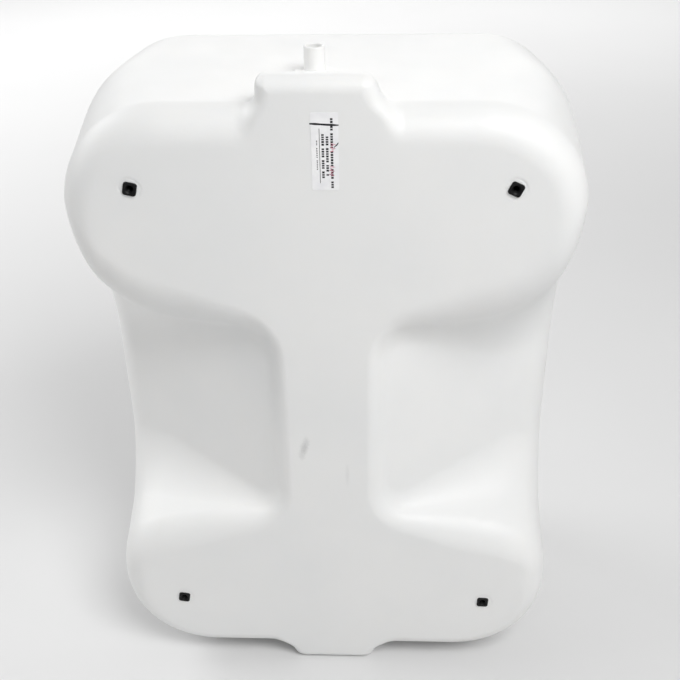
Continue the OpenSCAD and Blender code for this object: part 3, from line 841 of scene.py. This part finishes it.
label_low, label_high = cad("test_label")
LABEL_LEFT, LABEL_RIGHT = label_low[0], label_high[0]
LABEL_FOOT, LABEL_HEAD = label_low[2], label_high[2]
FILM_THICK = 0.3
FILM_CORNER = 1.2
# The film reaches this much further left than its CAD solid.
FILM_MORE = 3.5


def flat_shapes(name, shapes, proud, thick, material, node=None):
    """Thin flat shapes on the face, each a list of (x, z) corners, anticlockwise from the front."""
    y = FACE_Y - FILM_THICK - proud
    points, faces = [], []
    for shape in shapes:
        o, n = len(points), len(shape)
        points += [(px, y, pz) for px, pz in shape] + [(px, y + thick, pz) for px, pz in shape]
        faces.append(list(range(o, o + n)))
        faces.append(list(range(o + 2 * n - 1, o + n - 1, -1)))
        faces += [[o + i, o + n + i, o + n + (i + 1) % n, o + (i + 1) % n] for i in range(n)]
    obj = mesh_object(name, points, faces)
    obj.data.polygons.foreach_set("use_smooth", np.zeros(len(obj.data.polygons), bool))
    obj.data.materials.append(material)
    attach(obj, "tank")
    if node:
        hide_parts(node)


def rounded(x0, z0, x1, z1, r, n=5):
    """A rectangle with rounded corners."""
    corners = (
        (x1 - r, z0 + r, -90), (x1 - r, z1 - r, 0), (x0 + r, z1 - r, 90), (x0 + r, z0 + r, 180),
    )
    outline = []
    for cx, cz, start in corners:
        for i in range(n + 1):
            a = math.radians(start + 90 * i / n)
            outline.append((cx + r * math.cos(a), cz + r * math.sin(a)))
    return outline


def bar(x0, z0, x1, z1):
    return [(x0, z0), (x1, z0), (x1, z1), (x0, z1)]


def stroke(path, width):
    """A pen line of uneven width along a path of (x, z) points."""
    path = np.array(path, float)
    along = np.gradient(path, axis=0)
    along /= np.linalg.norm(along, axis=1, keepdims=True)
    side = np.stack([-along[:, 1], along[:, 0]], 1)
    half = width / 2 * (1 + 0.12 * np.sin(np.arange(len(path)) * 2.1))
    half[0] *= 0.7
    half[-1] *= 0.6
    left, right = path + side * half[:, None], path - side * half[:, None]
    return [
        [tuple(p) for p in (right[i], right[i + 1], left[i + 1], left[i])]
        for i in range(len(path) - 1)
    ]


# Each column of print: its middle, from the label's right edge; its width; its top and its foot,
# from the label's top and foot; and a length that each of its bars is a random part of.
PRINT_COLUMNS = (
    (7.0, 2.6, 6, 4, 3.2), (11.8, 2.7, 25.5, 16, 3.0),
    (16.4, 2.7, 23, 14, 3.0), (22.6, 1.1, 30, 22, 1.8),
)
BAR_PARTS = (0.5, 0.75)
WORD_BARS = (3, 7)
LETTER_GAP, WORD_GAP = 0.75, 3.0
RULE = Sizes(x=19.8, half=0.3, foot=8, head=17)


def print_bars(seed=4):
    """Upright columns of short bars in place of the label's lines of print."""
    rng = np.random.default_rng(seed)
    bars = []
    for from_right, wide, from_head, from_foot, long in PRINT_COLUMNS:
        x = LABEL_RIGHT - from_right
        z = LABEL_HEAD - from_head
        word = rng.integers(*WORD_BARS)
        while z > LABEL_FOOT + from_foot:
            size = long * rng.uniform(*BAR_PARTS)
            bars.append(bar(x - wide / 2, z - size, x + wide / 2, z))
            word -= 1
            z -= size + (LETTER_GAP if word > 0 else WORD_GAP)
            if word <= 0:
                word = rng.integers(*WORD_BARS)
    rule = LABEL_RIGHT - RULE.x
    foot, head = LABEL_FOOT + RULE.foot, LABEL_HEAD - RULE.head
    bars.append(bar(rule - RULE.half, foot, rule + RULE.half, head))
    return bars


# The pen lines are plain strokes, in place of the handwriting.
PEN_LINE = ((-10.6, 800.7), (-5, 800.4), (1, 800.0), (7, 799.6), (13, 799.3), (19.4, 799.1))
PEN_TICK = ((18.8, 780.2), (17.4, 778.0), (15.8, 776.6), (14.2, 775.0))
# Each zigzag: x, z of its top, and how many points.
ZIGZAGS = ((12.6, 779.4, 9), (11.4, 754.6, 11))


def zigzag(x, z, n):
    right, left, drop = 3.4, -3.0, 1.15
    return [
        (x + (right if i % 2 else left) * (0.6 + 0.4 * math.sin(i * 1.7)), z - drop * i)
        for i in range(n)
    ]


film = rounded(LABEL_LEFT - FILM_MORE, LABEL_FOOT, LABEL_RIGHT, LABEL_HEAD, FILM_CORNER)
flat_shapes("label", [film], 0, FILM_THICK, FILM, node="test_label")
flat_shapes("label_print", print_bars(), 0.03, 0.05, PRINT)
flat_shapes("label_pen", stroke(PEN_LINE, 2.1) + stroke(PEN_TICK, 1.1), 0.06, 0.12, PEN)
marks = [shape for spot in ZIGZAGS for shape in stroke(zigzag(*spot), 0.8)]
flat_shapes("label_marks", marks, 0.05, 0.1, RED_PEN)

# ---------------------------------------------------------------- stage, light, camera

FLOOR_SIZE = 24
FLOOR_GREYS = (0.75, 0.77)
WORLD_STRENGTH = 0.30
# Each light: name, place, the point that it faces, width and height in metres, and watts.
LIGHTS = (
    ("key", (1.0, -1.5, 2.5), (0, -0.1, 0.5), (1.2, 1.2), 45),
    ("back_panel", (0, 3.8, 1.8), (0, 2.8, 0), (5, 2), 62),
    ("floor_fill", (-3.0, 1.5, 2.2), (-1.6, 1.2, 0), (2.5, 1.5), 55),
    ("side_fill", (-2.2, -0.3, 1.2), (0, 0, 0.45), (1.0, 1.0), 5),
    ("extra", (2.2, -1.0, 1.6), (0, 0, 0.45), (0.8, 0.8), 4),
)
SENSOR = 36
IMAGE_SIZE = 680
FOCAL_PIXELS = 1000
# The camera's place is measured from the middle of the face, in metres.
CAMERA_FROM_FACE = (0.0650, -0.98757, 0.72482)
FACE_MIDDLE_Z = 0.424
CAMERA_LOOK = (-0.04151, 0.85062, -0.52414)
CAMERA_DOWN = (0.00715, -0.52432, -0.85149)


def place_object(name, data):
    obj = bpy.data.objects.new(name, data)
    bpy.context.scene.collection.objects.link(obj)
    return obj


def area_light(name, place, target, size, power):
    light = bpy.data.lights.new(name, "AREA")
    light.shape = "RECTANGLE"
    light.size, light.size_y = size
    light.energy = power
    obj = place_object(name, light)
    obj.location = place
    obj.rotation_euler = (Vector(target) - Vector(place)).to_track_quat("-Z", "Y").to_euler()


bpy.ops.mesh.primitive_plane_add(size=FLOOR_SIZE)
floor = bpy.context.object
floor.name = "floor"
paint = Nodes("floor_paint")
tone = paint.ramp(paint.noise(1.2, 2), 0.3, 0.7)
paint.set(Base_Color=paint.blend(tone, *map(grey, FLOOR_GREYS)), Roughness=0.9)
floor.data.materials.append(paint.material)

world = bpy.data.worlds.new("studio")
world.use_nodes = True
background = world.node_tree.nodes["Background"].inputs
background["Color"].default_value = grey(1)
background["Strength"].default_value = WORLD_STRENGTH
bpy.context.scene.world = world
for light in LIGHTS:
    area_light(*light)

camera_data = bpy.data.cameras.new("camera")
camera_data.sensor_width = SENSOR
camera_data.lens = SENSOR * FOCAL_PIXELS / IMAGE_SIZE
camera = place_object("camera", camera_data)
look = Vector(CAMERA_LOOK).normalized()
right = Vector(CAMERA_DOWN).cross(look).normalized()
up = right.cross(look)
side, back, rise = CAMERA_FROM_FACE
place = Matrix.Translation((side, back + FACE_Y * MM, rise + FACE_MIDDLE_Z))
camera.matrix_world = place @ Matrix((right, up, -look)).transposed().to_4x4()
bpy.context.scene.camera = camera
bpy.context.scene.view_settings.view_transform = "Standard"
